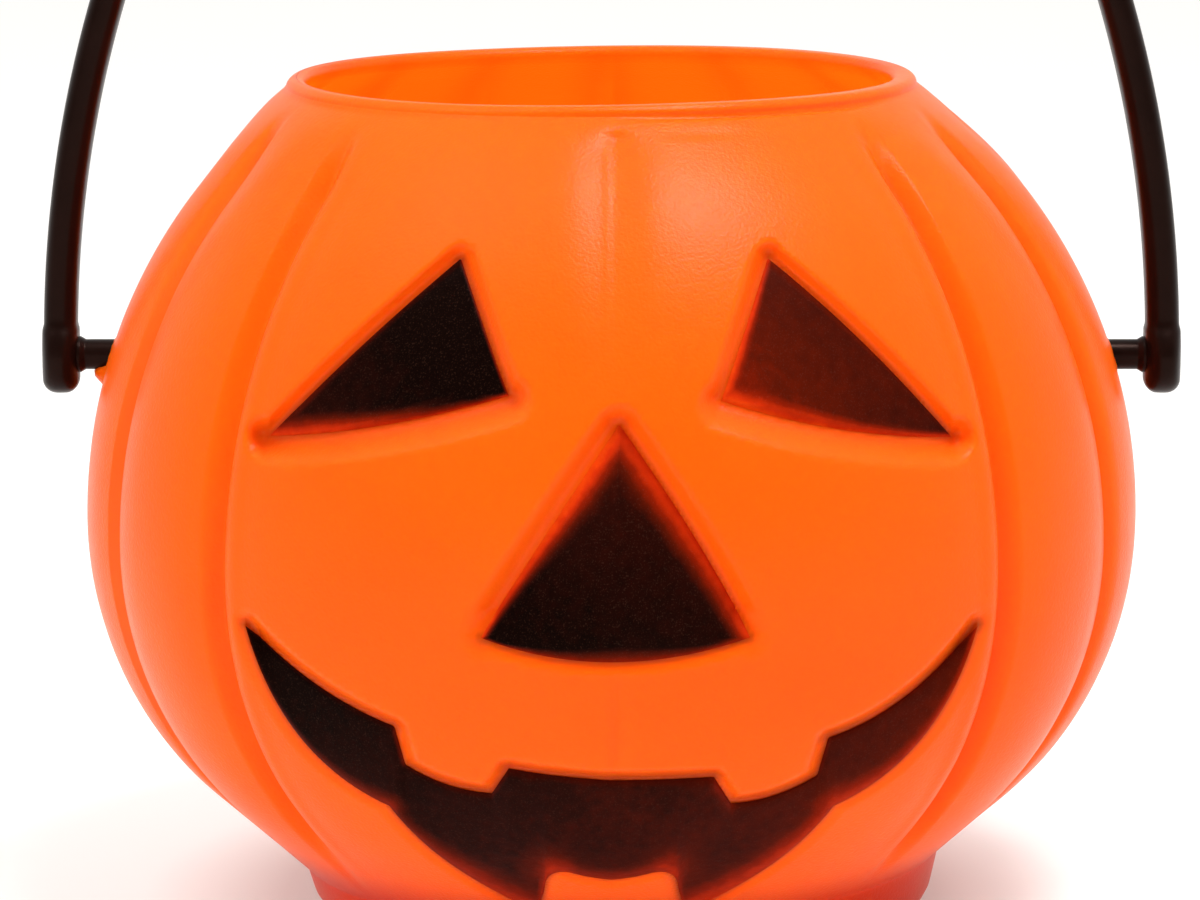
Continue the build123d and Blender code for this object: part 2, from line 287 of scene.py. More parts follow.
lower_grin_shares = [
    [(1.005, 1.045), (0.930, 0.645), (0.807, 0.408)],
    [(0.807, 0.408), (0.722, 0.155), (0.604, -0.06)],
    [(0.604, -0.06), (0.594, 0.06)],
    [(0.594, 0.06), (0.584, 0.142), (0.556, 0.156)],
    [(0.556, 0.156), (0.53, 0.135), (0.5, 0.122)],
]
tilt_place_shares = (0.03, 0.17, 0.45, 0.505)


def grin(half, tilt_right=0, tilt_left=0):
    """Edge of the whole mouth: its right half and the mirror image, each raised by a tilt.

    The tilt is full along most of a half and fades out evenly towards the middle and the tip.
    """
    def raised(u, v):
        """Point moved up by the tilt of its half."""
        tilt = tilt_right if u > 0.5 else tilt_left
        return u, v + tilt * np.interp(abs(u - 0.5), tilt_place_shares, (0, 1, 1, 0))

    runs = half + [[(1 - u, v) for u, v in run] for run in half]
    return [[raised(u, v) for u, v in run] for run in runs]


mouth_shares = (grin(upper_grin_shares, tilt_right=-0.03, tilt_left=0.015), grin(lower_grin_shares))
# The overspray levels and widths by side also paint shade on the recess walls.
right_eye = FaceFeature(
    "right_eye_paint", right_eye_shares, depths=(4.0, 2.8), walls=(3.6, 3.2, 3.2, 4.8),
    overspray_and_shade_levels=(0.40, 0.58, 0.60, 0.44), overspray_and_shade_widths=(3.4, 1.6, 1.6, 3.4),
)
left_eye = FaceFeature(
    "left_eye_paint", left_eye_shares, depths=(4.0, 2.8), walls=(3.2, 3.6, 3.2, 4.8),
    overspray_and_shade_levels=(0.55, 0.66, 0.66, 0.48), overspray_and_shade_widths=(1.6, 2.4, 1.8, 4.6), mirrored=True,
)
nose = FaceFeature(
    "nose_paint", nose_shares, depths=(0.9, 3.8), walls=(5.0, 4.2, 4.2, 2.6),
    overspray_and_shade_levels=(0.22, 0.50, 0.55, 0.70), overspray_and_shade_widths=(4.0, 1.4, 3.4, 2.0),
)
mouth = FaceFeature(
    "mouth_paint", mouth_shares, depths=(0.7, 3.0), walls=(3.0, 3.0, 3.2, 1.8),
    overspray_and_shade_levels=(0.70, 0.50, 0.74, 0.50), overspray_and_shade_widths=(1.6, 1.4, 3.4, 1.0),
)
face = (right_eye, left_eye, nose, mouth)
FLOOR_STRIP_SHARE = 0.1
INNER_WALL_SHARE = 0.3


def recess_depth(x, z, outside):
    """Depth of the recesses below the globe: the floors' own, falling up their walls by a cubic step.

    A wall starts a share of its width outside the paint, and further out on the inside of the pail.
    """
    deepest = np.zeros(x.shape)
    strip = FLOOR_STRIP_SHARE + np.where(outside, 0, INNER_WALL_SHARE)
    for feature in face:
        wall = smooth_step(0, 1, feature.reach(x, z, feature.walls) - strip)
        deepest = np.maximum(deepest, (1 - wall) * feature.depth(x, z))
    return deepest


FACE_HALF_ANGLE = math.radians(46)
LOBE_COUNT = 12
GROOVE_DEPTH = 2.3
GROOVE_HALF_WIDTH = 4.0
GROOVE_FOOT = (14, 34)
GROOVE_TOP = (154, 168)
lobes_angle = 2 * math.pi - 2 * FACE_HALF_ANGLE
lobe_pitch = lobes_angle / LOBE_COUNT


def groove_depth(azimuth, radius, height):
    """Depth of the grooves between the lobes and beside the front panel, along the globe's normal.

    A groove falls as (1 - q^2)^2 of the distance q from its middle in half widths, with a narrow crease in
    it. The lobes sag towards it and swell away from it, and a ridge stands beside it on the panel, all as
    bell curves.
    """
    turn = np.mod(azimuth - FACE_HALF_ANGLE, 2 * np.pi)
    on_panel = turn > lobes_angle
    on_lobes = np.abs(turn / lobe_pitch - np.round(turn / lobe_pitch)) * lobe_pitch
    away = radius * np.where(on_panel, np.minimum(turn - lobes_angle, 2 * np.pi - turn), on_lobes)
    groove = GROOVE_DEPTH * np.clip(1 - (away / GROOVE_HALF_WIDTH) ** 2, 0, None) ** 2
    crease = bell(away, size=0.8, width=1.8)
    sag = bell(away, size=1.2, width=10)
    swell = 0.6 - bell(away, size=0.6, width=6)
    ridge = bell(away, size=0.4, middle=6.0, width=2.2)
    depth = groove + crease + sag - np.where(on_panel, ridge, swell)
    return depth * plateau(GROOVE_FOOT, GROOVE_TOP, height)


BROW_FOOT = (108, 148)
BROW_TOP = (163, 168)
CHIN_FOOT = (46, 52)
CHIN_TOP = (64, 72)


def seam_depth(azimuth, radius, height):
    """Depth of the mould's parting line down the front panel, as bell curves of the distance across it.

    Above the nose it is a shallow groove with a fine line standing in it, and below the nose a narrow
    groove.
    """
    across = np.where(np.cos(azimuth) > 0, radius * np.sin(azimuth), np.inf)
    brow = bell(across, size=0.95, width=5.6) - bell(across, size=0.10, middle=-0.7, width=0.9)
    chin = bell(across, size=0.8, middle=1.2, width=1.5)
    return brow * plateau(BROW_FOOT, BROW_TOP, height) + chin * plateau(CHIN_FOOT, CHIN_TOP, height)


PIN_HEIGHT = frame["joints"][0]["pos_m"][2] / MM
PIN_LAND_SHARE = 0.65
PIN_LAND_RADIUS = 10.0
FLAP_TOP = (1.8, 3.0)
FLAP_TIP = (5.0, 8.0)
FLAP_SLANT = 0.3


def pin_hole_relief(azimuth, radius, height):
    """Share of the grooves that is left round the pin holes, and the height of what stands up there.

    The land round a hole is a blunt bell curve of the distance from the pin, and the lip a ring with a bell
    curve for its section. Below the left pin stands a torn flap with a slanting tip.
    """
    across = radius * np.cos(azimuth)
    below = PIN_HEIGHT - height
    reach = np.hypot(below, across)
    grooves_left = 1 - bell(reach, size=PIN_LAND_SHARE, width=PIN_LAND_RADIUS, power=4)
    lip = bell(reach, size=0.7, middle=4.2, width=1.0)
    flap = smooth_step(*FLAP_TOP, below) * (1 - smooth_step(*FLAP_TIP, below + FLAP_SLANT * across))
    flap = flap * bell(across, size=3.2, width=2.6) * (np.sin(azimuth) < 0)
    return grooves_left, lip + flap


RIGHT_MARK_START = (-0.1, 0.45)
RIGHT_MARK_END = (0.7, 1.25)
LINE_DROP = 9.0
LINE_CLIMB = 4.0
LINE_CLIMB_END = 0.9
BEAD_END = 0.5


def rim_marks(azimuth, radius, below_rim):
    """Depth of the marks under the rim, as bell curves of the length below it.

    Right of the middle are a crease and a faint line that climbs to the right, on the left is a raised
    bead, and at the top of the brow's seam is a pinch.
    """
    crease = bell(below_rim, size=0.6, middle=3.6, width=0.7)
    line_place = LINE_DROP - LINE_CLIMB * smooth_step(0, LINE_CLIMB_END, azimuth)
    line = bell(below_rim, size=0.16, middle=line_place, width=0.9)
    right_marks = (crease + line) * plateau(RIGHT_MARK_START, RIGHT_MARK_END, azimuth)
    bead = bell(below_rim, size=0.38, middle=2.9, width=1.0) * smooth_step(0, BEAD_END, -np.sin(azimuth))
    pinch = bell(radius * np.sin(azimuth), size=0.8, middle=0.8, width=2.2)
    pinch = pinch * bell(below_rim, middle=8.6, width=1.7) * (np.cos(azimuth) > 0)
    return right_marks - bead + pinch


RIM_SHIFT = 1.5
RIM_BULGE = 0.8
RIM_BULGE_START = 0.3
RIM_SHIFT_REACH = 22.0
RIM_WAVE = 0.45
RIM_RIPPLE = 0.2
RIM_RIPPLE_PHASE = 0.8
RIM_WAVE_REACH = 9.0
LIP_EXTRA = 2.6
LIP_SHIFT = 0.7
LIP_START = (-0.6, 2.6)
LIP_END = (5, 16)


def rim_bend(azimuth, height, past_rim):
    """How far the rim is drawn in towards the axis, and how far it is lifted.

    The rim sits to the left, by the sine of the azimuth, and bulges there a little more. Its lip stands
    further in than the wall below, and its edge rises and falls by a sine of the azimuth and one of three
    times that. All fade out downwards.
    """
    side = np.sin(azimuth)
    shift = RIM_SHIFT * side - RIM_BULGE * smooth_step(RIM_BULGE_START, 1, -side)
    drawn_in = shift * smooth_step(RIM_HEIGHT - RIM_SHIFT_REACH, RIM_HEIGHT, height)
    drawn_in = drawn_in + (LIP_EXTRA + LIP_SHIFT * side) * plateau(LIP_START, LIP_END, past_rim)
    wave = RIM_WAVE * side + RIM_RIPPLE * np.sin(3 * azimuth + RIM_RIPPLE_PHASE)
    return drawn_in, wave * smooth_step(RIM_HEIGHT - RIM_WAVE_REACH, RIM_HEIGHT, height)


FOOT_LEAN = 4.0
LEAN_RADII = (PUSH_UP_RADIUS + 3, FOOT_BASE_RADIUS - 6)
LEAN_HEIGHTS = (FOOT_HEIGHT + 2, FOOT_HEIGHT + 11)


def foot_lean(azimuth, radius, height):
    """How far the foot's top is drawn down the cone: nothing at the right, all of the lean at the left."""
    lean = FOOT_LEAN * (1 - np.sin(azimuth)) / 2 * smooth_step(*LEAN_RADII, radius)
    return lean * (1 - smooth_step(*LEAN_HEIGHTS, height))


FRONT_COSINE = 0.5
FRONT_FOOT = FOOT_HEIGHT - 1
FRONT_TOP = RIM_HEIGHT - 15


def pail_point(azimuth, along):
    """Point of the pail at an azimuth and a length along its profile, as x, y and z.

    The profile is turned about the upright axis and pushed in along its normal by the depths of the
    grooves and marks. Then the rim is bent and the foot leaned, and the recesses are pushed back along Y,
    by their depth over the normal's forward part.
    """
    radius, height = profile_at(along)
    normal_r = np.interp(along, lengths, tangent[:, 1])
    normal_z = np.interp(along, lengths, -tangent[:, 0])
    outside = along < rim_length
    grooves = groove_depth(azimuth, radius, height) + seam_depth(azimuth, radius, height)
    grooves_left, hole_lip = pin_hole_relief(azimuth, radius, height)
    depth = grooves * np.where(outside, 1, -1) * grooves_left - hole_lip * outside
    depth = depth + rim_marks(azimuth, radius, rim_length - along)
    drawn_in, lift = rim_bend(azimuth, height, along - rim_length)
    radius = radius - depth * normal_r - drawn_in
    height = height - depth * normal_z + lift
    lean = foot_lean(azimuth, radius, height)
    radius = radius - lean * math.tan(CONE_ANGLE)
    height = height - lean * np.minimum(height / FOOT_HEIGHT, 1)
    x, y = radius * np.sin(azimuth), -radius * np.cos(azimuth)
    front = (np.cos(azimuth) > FRONT_COSINE) & (height > FRONT_FOOT) & (height < FRONT_TOP)
    forward = np.cos(azimuth[front]) * np.abs(normal_r[front])
    y[front] += recess_depth(x[front], height[front], outside[front]) / forward
    return np.stack([x, y, height], -1)


NORMAL_STEP = 0.08


def pail_normals(azimuth, along):
    """Outward normals of the pail: the cross product of short steps round it and along its profile."""
    turn = NORMAL_STEP / BELLY_RADIUS
    across = pail_point(azimuth + turn, along) - pail_point(azimuth - turn, along)
    upward = pail_point(azimuth, np.minimum(along + NORMAL_STEP, lengths[-1]))
    upward -= pail_point(azimuth, np.maximum(along - NORMAL_STEP, 0))
    normals = np.cross(across, upward)
    normals /= np.maximum(np.linalg.norm(normals, axis=-1), TINY)[..., None]
    normals[0] = (0, 0, -1)
    normals[-1] = (0, 0, 1)
    return normals


DENSITY_STEPS = 6000


def crowded(low, high, count, density):
    """Values from low to high, count of them, spaced in inverse proportion to a density over that range."""
    fine = np.linspace(low, high, DENSITY_STEPS)
    total = np.cumsum(density(fine))
    return np.interp(np.linspace(total[0], total[-1], count), total, fine)


def band_angle(azimuth):
    """Angle from the nearest of the lines that start at the face's right edge, a lobe's pitch apart."""
    turn = np.mod(azimuth - FACE_HALF_ANGLE, lobe_pitch)
    return np.minimum(turn, lobe_pitch - turn)


FACE_MARGIN = 0.06
FACE_COLUMNS = 1.9
SIDE_COLUMNS = 0.33


def column_density(azimuth):
    """Columns crowd on the face, then round the two pin holes and on lines a lobe's pitch apart."""
    on_lines = bell(band_angle(azimuth), size=0.75, width=0.035)
    at_pins = bell(np.abs(azimuth), size=1.3, middle=np.pi / 2, width=0.05)
    on_face = np.abs(azimuth) < FACE_HALF_ANGLE + FACE_MARGIN
    return np.where(on_face, FACE_COLUMNS, SIDE_COLUMNS + on_lines + at_pins)


RIM_ROWS = 4.0
RIM_ROWS_REACH = 5.0
BASE_ROWS = 0.12
BASE_ROWS_RADIUS = PUSH_UP_RADIUS - 3
INNER_ROWS = 0.24
SIDE_ROWS = 1.0
SIDE_ROWS_START = 11.0
SIDE_ROWS_END = 152.0
OTHER_ROWS = 0.55


def row_density(along):
    """Rows crowd on the side of the pail, more so at the rim, and thin out inside and under the base."""
    radius, height = profile_at(along)
    places = [
        np.abs(along - rim_length) < RIM_ROWS_REACH,
        radius < BASE_ROWS_RADIUS,
        along >= rim_length,
        (height > SIDE_ROWS_START) & (height < SIDE_ROWS_END),
    ]
    return np.select(places, [RIM_ROWS, BASE_ROWS, INNER_ROWS, SIDE_ROWS], OTHER_ROWS)


def closed_skin(name, rings, normals=None):
    """Mesh over rings of points from one pole to the other, in millimetres, closed round and at both ends.

    The first and last ring are single points; quads join each ring to the next, and triangles the poles.
    """
    rows, columns = rings.shape[0] - 2, rings.shape[1]
    body = rings[1:-1].reshape(-1, 3)
    points = np.concatenate([body, rings[0].mean(0)[None], rings[-1].mean(0)[None]]) * MM
    index = np.arange(rows * columns).reshape(rows, columns)
    ahead = np.roll(index, -1, axis=1)
    quads = np.stack([index[:-1], ahead[:-1], ahead[1:], index[1:]], -1).reshape(-1, 4)
    first = np.stack([ahead[0], index[0], np.full(columns, rows * columns)], -1)
    last = np.stack([index[-1], ahead[-1], np.full(columns, rows * columns + 1)], -1)
    mesh = bpy.data.meshes.new(name)
    mesh.from_pydata(points, [], quads.tolist() + first.tolist() + last.tolist())
    mesh.shade_smooth()
    if normals is not None:
        ends = [normals[0].mean(0), normals[-1].mean(0)]
        every = np.concatenate([normals[1:-1].reshape(-1, 3), ends])
        mesh.normals_split_custom_set_from_vertices(every.tolist())
    piece = bpy.data.objects.new(name, mesh)
    bpy.context.scene.collection.objects.link(piece)
    return piece


def point_values(piece, name, values):
    """Number for each ring point of a piece, kept as an attribute; the poles take their ring's mean."""
    every = np.concatenate([values[1:-1].ravel(), [values[0].mean(), values[-1].mean()]])
    attribute = piece.data.attributes.new(name, "FLOAT", "POINT")
    attribute.data.foreach_set("value", every.astype(np.float32))


COLUMN_COUNT = 358
ROW_COUNT = 276
# Heights over which the painted shade on the foot fades out upwards.
FOOT_SHADE_HEIGHTS = (FOOT_HEIGHT - 3, FOOT_HEIGHT + 9)
# Lengths past the rim over which the painted glow inside comes in.
PAINTED_GLOW_START = (2.2, 6.5)
shell_columns = crowded(-np.pi, np.pi, COLUMN_COUNT + 1, column_density)[:-1]
shell_rows = crowded(0, lengths[-1], ROW_COUNT, row_density)
azimuth_grid, along_grid = np.meshgrid(shell_columns, shell_rows)
shell_points = pail_point(azimuth_grid, along_grid)
shell_heights = shell_points[..., 2]
pail = closed_skin("pumpkin_shell", shell_points, pail_normals(azimuth_grid, along_grid))
outer_skin = along_grid < rim_length
front_skin = (np.cos(azimuth_grid) > FRONT_COSINE) & outer_skin & (shell_heights > FRONT_FOOT)
front_x, front_z = shell_points[front_skin][:, 0], shell_heights[front_skin]
# Kept on the points: overspray beside the paint, which also paints shade on the recess walls; painted shade
# on the foot; and a painted glow inside that stands for light through the wall.
shell_overspray_and_shade = np.zeros(azimuth_grid.shape)
shell_overspray_and_shade[front_skin] = np.max([feature.overspray_and_shade_share(front_x, front_z) for feature in face], axis=0)
point_values(pail, "mist", shell_overspray_and_shade)
point_values(pail, "foot", (1 - smooth_step(*FOOT_SHADE_HEIGHTS, shell_heights)) * outer_skin)
# The painted glow inside is dimmer along the lines of the grooves, as painted shade.
painted_glow_bands = 1 - bell(band_angle(azimuth_grid), size=0.22, width=0.07)
point_values(pail, "inside", smooth_step(*PAINTED_GLOW_START, along_grid - rim_length) * painted_glow_bands)


class Value:
    """A socket that takes part in Python sums: each operator adds one Math node to its tree."""

    def __init__(self, nodes, socket):
        self.nodes = nodes
        self.socket = socket

    def maths(self, operation, first, second):
        """Result of a Math node on two values."""
        return self.nodes.node("ShaderNodeMath", {"operation": operation}, {0: first, 1: second})

    def __add__(self, other):
        return self.maths("ADD", self, other)

    def __sub__(self, other):
        return self.maths("SUBTRACT", self, other)

    def __rsub__(self, other):
        return self.maths("SUBTRACT", other, self)

    def __mul__(self, other):
        return self.maths("MULTIPLY", self, other)

    __radd__ = __add__
    __rmul__ = __mul__


class Nodes:
    """The node tree of a material or a world."""

    def __init__(self, owner):
        owner.use_nodes = True
        self.tree = owner.node_tree

    def set(self, node, values):
        """Sets sockets of a node by name or number: a Value is linked, and a colour has three parts."""
        for key, value in values.items():
            socket = node.inputs[key]
            if isinstance(value, Value):
                self.tree.links.new(value.socket, socket)
            else:
                socket.default_value = (*value, 1) if socket.type == "RGBA" else value

    def node(self, kind, settings=None, values=None, output=0):
        """Adds a node, gives it its settings, then its sockets, and returns one output, by name or number.

        A ramp's setting is a list of stops, each a place and a colour.
        """
        node = self.tree.nodes.new(kind)
        for key, value in (settings or {}).items():
            if key == "stops":
                for _ in value[2:]:
                    node.color_ramp.elements.new(0)
                for element, (place, colour) in zip(node.color_ramp.elements, value):
                    element.position = place
                    element.color = (*colour, 1)
            else:
                setattr(node, key, value)
        self.set(node, values or {})
        return Value(self, node.outputs[output])

    def noise(self, scale, detail=2.0):
        """Noise of about 1 / scale metres, on the piece's own coordinates, from 0 to 1."""
        place = self.node("ShaderNodeTexCoord", output="Object")
        sockets = {"Vector": place, "Scale": scale, "Detail": detail}
        return self.node("ShaderNodeTexNoise", {}, sockets, output="Fac")

    def point_value(self, name):
        """Number kept on the mesh's points under a name."""
        return self.node("ShaderNodeAttribute", {"attribute_name": name}, output="Fac")

    def mix(self, share, first, second):
        """Colour between two colours, by the colour sockets of a Mix node."""
        return self.node("ShaderNodeMix", {"data_type": "RGBA"}, {0: share, 6: first, 7: second}, output=2)

    def rise(self, value, low, high):
        """0 where a value is below low, 1 where it is above high, and its even share between them."""
        return self.node("ShaderNodeMapRange", {}, {"Value": value, "From Min": low, "From Max": high})


class Finish(Nodes):
    """A material of one Principled shader, and the nodes that feed it."""

    def __init__(self, name, **values):
        self.material = bpy.data.materials.new(name)
        super().__init__(self.material)
        self.feed(**values)

    def feed(self, **values):
        """Sets or links sockets of the shader, whose names have underscores here for their spaces."""
        shader = self.tree.nodes["Principled BSDF"]
        self.set(shader, {key.replace("_", " "): value for key, value in values.items()})

    def bump(self, height, depth):
        """Turns the shading normal by a height from 0 to 1 that stands for a depth in metres."""
        sockets = {"Height": height, "Distance": depth, "Strength": 1.0}
        self.feed(Normal=self.node("ShaderNodeBump", {}, sockets))

    def paint(self, piece, slot, body):
        """Gives a piece this material and the body that it moves with. The slot is not used."""
        piece.data.materials.append(self.material)
        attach(piece, body)


BLACK = (0, 0, 0)
ORANGE = (0.95, 0.120, 0.003)
DEEP_ORANGE = (0.92, 0.100, 0.002)
# Colour of the painted glow on the inside of the pail.
PAINTED_GLOW_ORANGE = (0.40, 0.115, 0.002)
# Brown of the overspray beside the paint, which also paints shade on the recess walls.
OVERSPRAY_AND_SHADE_BROWN = (0.09, 0.004, 0.001)
# Deep red of the painted shade on the foot.
FOOT_SHADE_RED = (0.58, 0.030, 0.001)
orange = Finish(
    "satin_orange_plastic",
    Subsurface_Weight=0.5,
    Subsurface_Scale=0.0035,
    Subsurface_Radius=(1.0, 0.45, 0.12),
    Specular_IOR_Level=0.09,
    Emission_Strength=1.0,
)
cloudy = orange.mix(orange.noise(scale=26), ORANGE, DEEP_ORANGE)
# Deep red towards the foot: painted shade where the globe shadows its foot.
cloudy = orange.mix(orange.point_value("foot"), cloudy, FOOT_SHADE_RED)
orange.feed(
    # Browner beside the paint: overspray, and painted shade on the recess walls.
    Base_Color=orange.mix(orange.point_value("mist"), cloudy, OVERSPRAY_AND_SHADE_BROWN),
    Roughness=0.27 + orange.noise(scale=340) * 0.08,
    # The inside glows orange: painted light that stands for light through the translucent wall.
    Emission_Color=orange.mix(orange.point_value("inside"), BLACK, PAINTED_GLOW_ORANGE),
)
orange.bump(orange.noise(scale=1500, detail=3.0), depth=0.00010)
orange.paint(pail, "orange_plastic", "pail")
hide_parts("pail_shell")

# Face paint: four thin coats of black, sprayed through a mask on the floors of the recesses after moulding.
# Each is a film of its own, and where it was sprayed thinly the orange below turns it dark red.
FILM_THICKNESS = 0.25
FILM_SEAT_GAP = 0.15
FILM_EDGE = (-0.2, 1.0)
FILM_ROWS = 15
side_rows = (lengths < rim_length) & (profile[:, 1] > FOOT_HEIGHT)


def side_of_pail(height):
    """Outer radius of the pail's side at a height, and the radial part of its outward normal."""
    values = (profile[side_rows, 0], tangent[side_rows, 1])
    return (np.interp(height, profile[side_rows, 1], value) for value in values)


def film_rings(feature):
    """Flat ribbon section of a paint film, carried across the feature along X.

    Each ring runs up the film's front between the lower and the upper edge and down its back, at a depth
    below the globe that is divided by the normal's forward part, as the recess is. The film thins out at
    its edge.
    """
    rows = np.linspace(0, 1, FILM_ROWS)
    share = np.concatenate([rows, rows[::-1]])[None]
    front = np.repeat([1, 0], FILM_ROWS)[None]
    x = feature.x[:, None] + 0 * share
    z = feature.lower[:, None] + share * (feature.upper - feature.lower)[:, None]
    radius, normal_r = side_of_pail(z)
    ahead = np.sqrt(radius**2 - x**2)
    body = smooth_step(*FILM_EDGE, -feature.reach(x, z, (1, 1, 1, 1)))
    depth = feature.depth(x, z) - FILM_SEAT_GAP - FILM_THICKNESS * front * body
    return np.stack([x, depth * radius / (normal_r * ahead) - ahead, z], -1)


SPECK_BROWN = (0.42, 0.18, 0.12)
SPECK_SHARE = 0.035
STREAK_SHARE = 0.16
BLOTCH_SHARE = 0.14
COAT_STOPS = [
    (0.0, ORANGE),
    (0.10, (0.78, 0.070, 0.003)),
    (0.24, (0.52, 0.024, 0.002)),
    (0.42, (0.21, 0.009, 0.001)),
    (0.62, (0.078, 0.005, 0.001)),
    (0.85, (0.016, 0.002, 0.001)),
    (1.0, (0.003, 0.0008, 0.0005)),
]
black_coat = Finish(
    "sprayed_black_paint", IOR=1.45, Specular_IOR_Level=0.035, Specular_Tint=(1, 0.55, 0.45),
)
streaks = black_coat.noise(scale=420, detail=4.0)
blotches = black_coat.noise(scale=70, detail=3.0)
specks = black_coat.rise(black_coat.noise(scale=3300, detail=1.0), low=0.58, high=0.72)
coverage = black_coat.point_value("coat")
coverage = coverage + (streaks - 0.5) * STREAK_SHARE + (blotches - 0.5) * BLOTCH_SHARE
stained = black_coat.node("ShaderNodeValToRGB", {"stops": COAT_STOPS}, {"Fac": coverage})
black_coat.feed(
    Base_Color=black_coat.mix(specks * SPECK_SHARE, stained, SPECK_BROWN),
    Roughness=0.36 + blotches * 0.16,
)
black_coat.bump(streaks, depth=0.00012)
TOOTH_HALF_WIDTH = 12.5
THIN_BAND = 5.0
LEAST_SOFTNESS = 0.3
SOFTNESS_GAIN = 1.3


def spray(feature, level, slope, towards, widths, least, softest=0.8, spell=1.0, band=0, tooth=0):
    """Puts a film of paint on a feature's floor, with a coat that changes evenly towards one way.

    At the film's edge the coat is least, by side, and it is full from a width inside the edge. That width
    is greatest at one place along the way, as a bell curve, and there a band along the lower edge can be
    thinner too, but less so beside the tooth in the middle.
    """
    rings = film_rings(feature)
    x, z = rings[..., 0], rings[..., 2]
    span = max(np.ptp(x), np.ptp(z)) / 2
    lean = ((x - x.mean()) * towards[0] + (z - z.mean()) * towards[1]) / span
    soft = bell(lean, middle=softest, width=spell)
    soft = soft * (1 - bell(x, size=tooth, width=TOOTH_HALF_WIDTH, power=4))
    full = feature.cover(x, z, least, np.multiply.outer(widths, LEAST_SOFTNESS + SOFTNESS_GAIN * soft))
    full = full * (1 - band * soft * bell(z - z.min(axis=1, keepdims=True), width=THIN_BAND))
    film = closed_skin(feature.node.replace("_paint", "_coat"), rings)
    point_values(film, "coat", (level + slope * lean) * full)
    black_coat.paint(film, "face_paint", "pail")
    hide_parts(feature.node)


spray(
    right_eye, level=0.68, slope=-0.18, towards=(-0.8, -0.6),
    widths=(1.8, 1.0, 1.0, 2.8), least=(0.30, 0.80, 0.80, 0.30),
)
spray(
    left_eye, level=0.98, slope=-0.10, towards=(-0.8, -0.6),
    widths=(1.2, 2.2, 0.9, 3.2), least=(0.66, 0.36, 0.78, 0.24),
)
spray(
    nose, level=0.94, slope=-0.14, towards=(0.4, 0.9),
    widths=(4.0, 4.6, 3.2, 1.2), least=(0.13, 0.27, 0.29, 0.42),
)
spray(
    mouth, level=0.82, slope=-0.19, towards=(1.0, -0.25),
    widths=(1.0, 2.0, 1.0, 8.0), least=(0.75, 0.60, 0.85, 0.52),
    softest=0.08, spell=0.55, band=0.5, tooth=0.85,
)

# Bail handle: one arched moulding of glossy black plastic, 6.8 by 11 mm with well rounded edges. It swells
# to a round boss at each foot, and a pin on the boss snaps through the hole in the pail's side.
STRAP_HALF_THICKNESS = 3.4
STRAP_HALF_WIDTH = 5.5
STRAP_BLUNTNESS = 2.7
STRAP_START = (-3, 5)
STRAP_RINGS = 330
RING_POINTS = 48
BOSS_RADIUS = 8.0
BOSS_HALF_THICKNESS = 3.7
BOSS_ROUND = 3.1
BOSS_BLEND = 7
LEG_ARC = 250.0
LEG_SWEEP = math.radians(20.6)
LEG_POINTS = 200
ARCH_POINTS = 300
handle_half_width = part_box("handle")[1].x / MM - BOSS_HALF_THICKNESS
leg_top = handle_half_width - LEG_ARC * (1 - math.cos(LEG_SWEEP))
arch_radius = leg_top / math.cos(LEG_SWEEP)
arch_height = PIN_HEIGHT + (LEG_ARC - arch_radius) * math.sin(LEG_SWEEP)


def handle_line():
    """Centre line of half the handle, as x and z: straight below the pin, a bowed leg, then the arch."""
    leg = np.linspace(0, LEG_SWEEP, LEG_POINTS)
    arch = np.linspace(LEG_SWEEP, np.pi / 2, ARCH_POINTS)[1:]
    leg_x = handle_half_width - LEG_ARC * (1 - np.cos(leg))
    return np.concatenate([
        [(handle_half_width, PIN_HEIGHT - BOSS_RADIUS)],
        np.stack([leg_x, PIN_HEIGHT + LEG_ARC * np.sin(leg)], 1),
        np.stack([arch_radius * np.cos(arch), arch_height + arch_radius * np.sin(arch)], 1),
    ])


def blunt(way):
    """Cosine or sine of a circle turned into a superellipse's: to the power 2 over its bluntness."""
    return np.sign(way) * np.abs(way) ** (2 / STRAP_BLUNTNESS)


